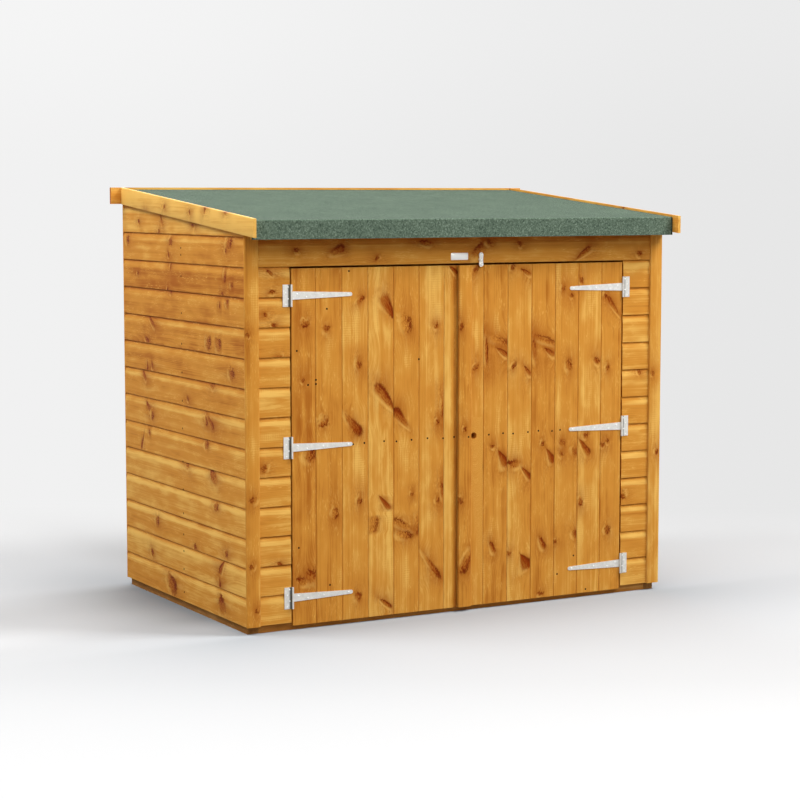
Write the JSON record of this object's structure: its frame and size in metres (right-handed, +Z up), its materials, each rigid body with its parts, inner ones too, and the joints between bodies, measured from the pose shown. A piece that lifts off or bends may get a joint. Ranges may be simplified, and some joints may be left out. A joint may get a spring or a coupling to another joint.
{
  "type": "bike shelter",
  "caption": "Closed timber bike shelter with shiplap walls, a felted pent roof falling to the front, ledged and braced double doors on tee hinges, and a turn button.",
  "frame": {"origin": "on the ground under the middle of the centre floor bearer, midway between the side walls and between the front and back cladding", "axes": "+X to the right along the front seen from outside, +Y from the front to the back, +Z up"},
  "size_m": [1.916, 1.244, 1.595],
  "materials": {
    "shiplap_cladding": "satin",
    "door_boarding": "satin",
    "planed_trim": "satin",
    "sawn_framing": "matte",
    "deck_boards": "matte",
    "treated_bearers": "matte",
    "green_mineral_felt": "matte",
    "galvanised_fittings": "satin",
    "white_fittings": "gloss"
  },
  "bodies": {
    "shed": {"back_corner_trims": "planed_trim", "back_fascia": "planed_trim", "back_wall_cladding": "shiplap_cladding", "back_wall_rails": "sawn_framing", "back_wall_studs": "sawn_framing", "door_lintel": "sawn_framing", "floor_bearers": "treated_bearers", "floor_deck": "deck_boards", "floor_end_bearers": "treated_bearers", "front_corner_trims": "planed_trim", "front_fascia": "planed_trim", "front_header_cladding": "shiplap_cladding", "front_left_cladding": "shiplap_cladding", "front_posts": "sawn_framing", "front_right_cladding": "shiplap_cladding", "front_top_rail": "sawn_framing", "left_bargeboard": "planed_trim", "left_hinge_plates": "galvanised_fittings", "left_wall_cladding": "shiplap_cladding", "left_wall_rails": "sawn_framing", "left_wall_studs": "sawn_framing", "right_bargeboard": "planed_trim", "right_hinge_plates": "galvanised_fittings", "right_wall_cladding": "shiplap_cladding", "right_wall_rails": "sawn_framing", "right_wall_studs": "sawn_framing", "roof_deck": "deck_boards", "roof_felt": "green_mineral_felt", "roof_purlins": "sawn_framing", "turn_button_pivot": "white_fittings"},
    "left_door": {"left_door_boards": "door_boarding", "left_door_braces": "sawn_framing", "left_door_ledges": "sawn_framing", "left_hinge_straps": "galvanised_fittings"},
    "right_door": {"cover_strip": "planed_trim", "right_door_boards": "door_boarding", "right_door_braces": "sawn_framing", "right_door_ledges": "sawn_framing", "right_hinge_straps": "galvanised_fittings"},
    "turn_button": {"turn_button": "white_fittings"}
  },
  "joints": [
    {"name": "left_door_hinge", "type": "hinge", "parent": "shed", "child": "left_door", "pos_m": [-0.72, -0.569, 0.665], "axis": [0, 0, -1], "range_deg": [0, 170]},
    {"name": "right_door_hinge", "type": "hinge", "parent": "shed", "child": "right_door", "pos_m": [0.72, -0.569, 0.665], "axis": [0, 0, 1], "range_deg": [0, 170]},
    {"name": "turn_button_pivot", "type": "hinge", "parent": "shed", "child": "turn_button", "pos_m": [0.069, -0.5713, 1.326], "axis": [0, 1, 0], "range_deg": [-90, 90]}
  ]
}
